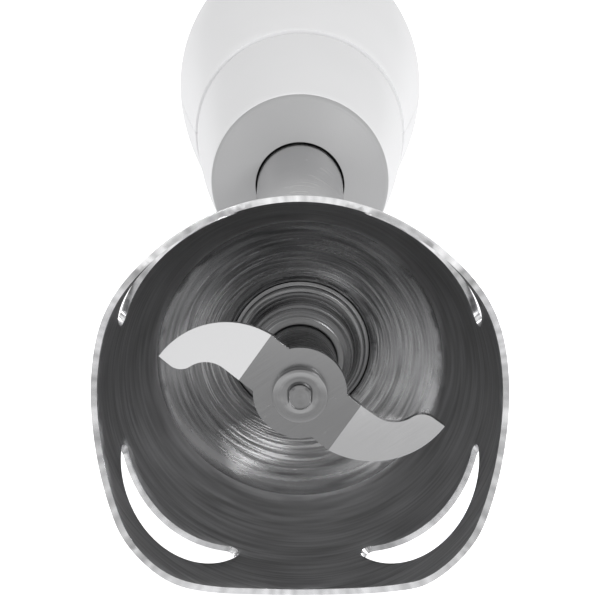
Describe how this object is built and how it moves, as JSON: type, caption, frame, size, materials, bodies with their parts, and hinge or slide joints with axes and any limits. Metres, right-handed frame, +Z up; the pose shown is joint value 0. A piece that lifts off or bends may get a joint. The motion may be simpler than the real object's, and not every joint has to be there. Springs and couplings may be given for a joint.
{
  "type": "immersion blender",
  "caption": "Hand-held immersion blender: egg-shaped two-shell handle with a motor, a detachable steel shaft and a scalloped bell guard round a hooked blade.",
  "frame": {"origin": "centre of the lying blender's box, on the surface that it rests on", "axes": "+Y along the drive axis from the bell guard to the mains end of the handle, +Z up through the button side of the lying blender"},
  "size_m": [0.067, 0.404, 0.067],
  "materials": {
    "stainless": "spun brushed steel with a polished rim",
    "stainless_tube": "fine brushed",
    "blade_steel": "satin ground",
    "turned_steel": "turned",
    "screw_steel": "zinc plated",
    "spring_steel": "drawn wire",
    "lamination_steel": "stacked laminations",
    "motor_alloy": "die cast",
    "bronze": "sintered",
    "brass": "drawn",
    "copper": "enamelled copper",
    "carbon": "pressed carbon",
    "white_plastic": "satin gloss white",
    "grey_plastic": "light grey moulded",
    "dark_plastic": "moulded",
    "grey_rubber": "soft touch",
    "black_rubber": "matt",
    "board_green": "solder mask",
    "capacitor_case": "moulded"
  },
  "bodies": {
    "handle": {"foot_socket": "grey_plastic", "front_shell": "white_plastic", "rear_shell": "white_plastic", "joint_seal": "grey_rubber", "rest_pad": "grey_rubber", "housing_screws": "screw_steel", "top_cap": "white_plastic", "cord_gland": "grey_rubber", "gland_nut": "dark_plastic", "cord_clamp": "dark_plastic", "lower_bearing": "turned_steel", "upper_bearing": "turned_steel", "front_bridge": "motor_alloy", "rear_bridge": "motor_alloy", "stator_core": "lamination_steel", "field_coils": "copper", "motor_bolts": "screw_steel", "motor_ring_front": "black_rubber", "motor_ring_rear": "black_rubber", "brush_holders": "brass", "carbon_brushes": "carbon", "brush_springs": "spring_steel", "circuit_board": "board_green", "capacitor": "capacitor_case", "terminal_block": "dark_plastic", "switches": "dark_plastic", "dial_board": "board_green", "dial_sensor": "dark_plastic", "button_bezel": "grey_plastic", "power_spring": "spring_steel", "turbo_spring": "spring_steel", "release_spring": "spring_steel"},
    "foot": {"bell_guard": "stainless", "bearing_boss": "turned_steel", "boss_gasket": "black_rubber", "lower_bush": "bronze", "shaft_seal": "black_rubber", "shaft_tube": "stainless_tube", "upper_bush": "dark_plastic", "nose_plate": "grey_plastic", "tube_gasket": "black_rubber", "nose_sleeve": "white_plastic", "coupling_core": "grey_plastic"},
    "blade_assembly": {"blade": "blade_steel", "blade_collar": "turned_steel", "blade_hub": "turned_steel", "thrust_washer": "turned_steel", "drive_shaft": "turned_steel", "shaft_clip": "turned_steel", "driven_coupling": "dark_plastic"},
    "rotor": {"motor_shaft": "turned_steel", "armature_core": "lamination_steel", "armature_winding": "copper", "commutator": "copper", "cooling_fan": "dark_plastic", "drive_coupling": "dark_plastic"},
    "power_key": {"power_button": "grey_rubber"},
    "turbo_key": {"turbo_button": "grey_rubber"},
    "release_key": {"release_button": "grey_plastic"},
    "dial": {"speed_dial": "grey_plastic"}
  },
  "joints": [
    {"name": "rotor_spin", "type": "hinge", "parent": "handle", "child": "rotor", "pos_m": [0, 0.083, 0.0335], "axis": [0, 1, 0], "continuous": true},
    {"name": "foot_release", "type": "slide", "parent": "handle", "child": "foot", "axis": [0, -1, 0], "range_m": [0, 0.075]},
    {"name": "blade_spin", "type": "hinge", "parent": "foot", "child": "blade_assembly", "pos_m": [0, -0.102, 0.0335], "axis": [0, 1, 0], "continuous": true},
    {"name": "power_press", "type": "slide", "parent": "handle", "child": "power_key", "axis": [0, 0, -1], "range_m": [0, 0.0025], "stiffness_N_per_m": 400, "deforming": ["power_spring"]},
    {"name": "turbo_press", "type": "slide", "parent": "handle", "child": "turbo_key", "axis": [0, 0, -1], "range_m": [0, 0.0025], "stiffness_N_per_m": 400, "deforming": ["turbo_spring"]},
    {"name": "release_press", "type": "slide", "parent": "handle", "child": "release_key", "axis": [0, 0, 1], "range_m": [0, 0.0025], "stiffness_N_per_m": 600, "deforming": ["release_spring"]},
    {"name": "dial_turn", "type": "hinge", "parent": "handle", "child": "dial", "pos_m": [0, 0.198, 0.0405], "axis": [0, 1, 0], "range_deg": [0, 270]}
  ],
  "couplings": [
    {"joint": "blade_spin", "follows": "rotor_spin", "ratio": 1}
  ]
}
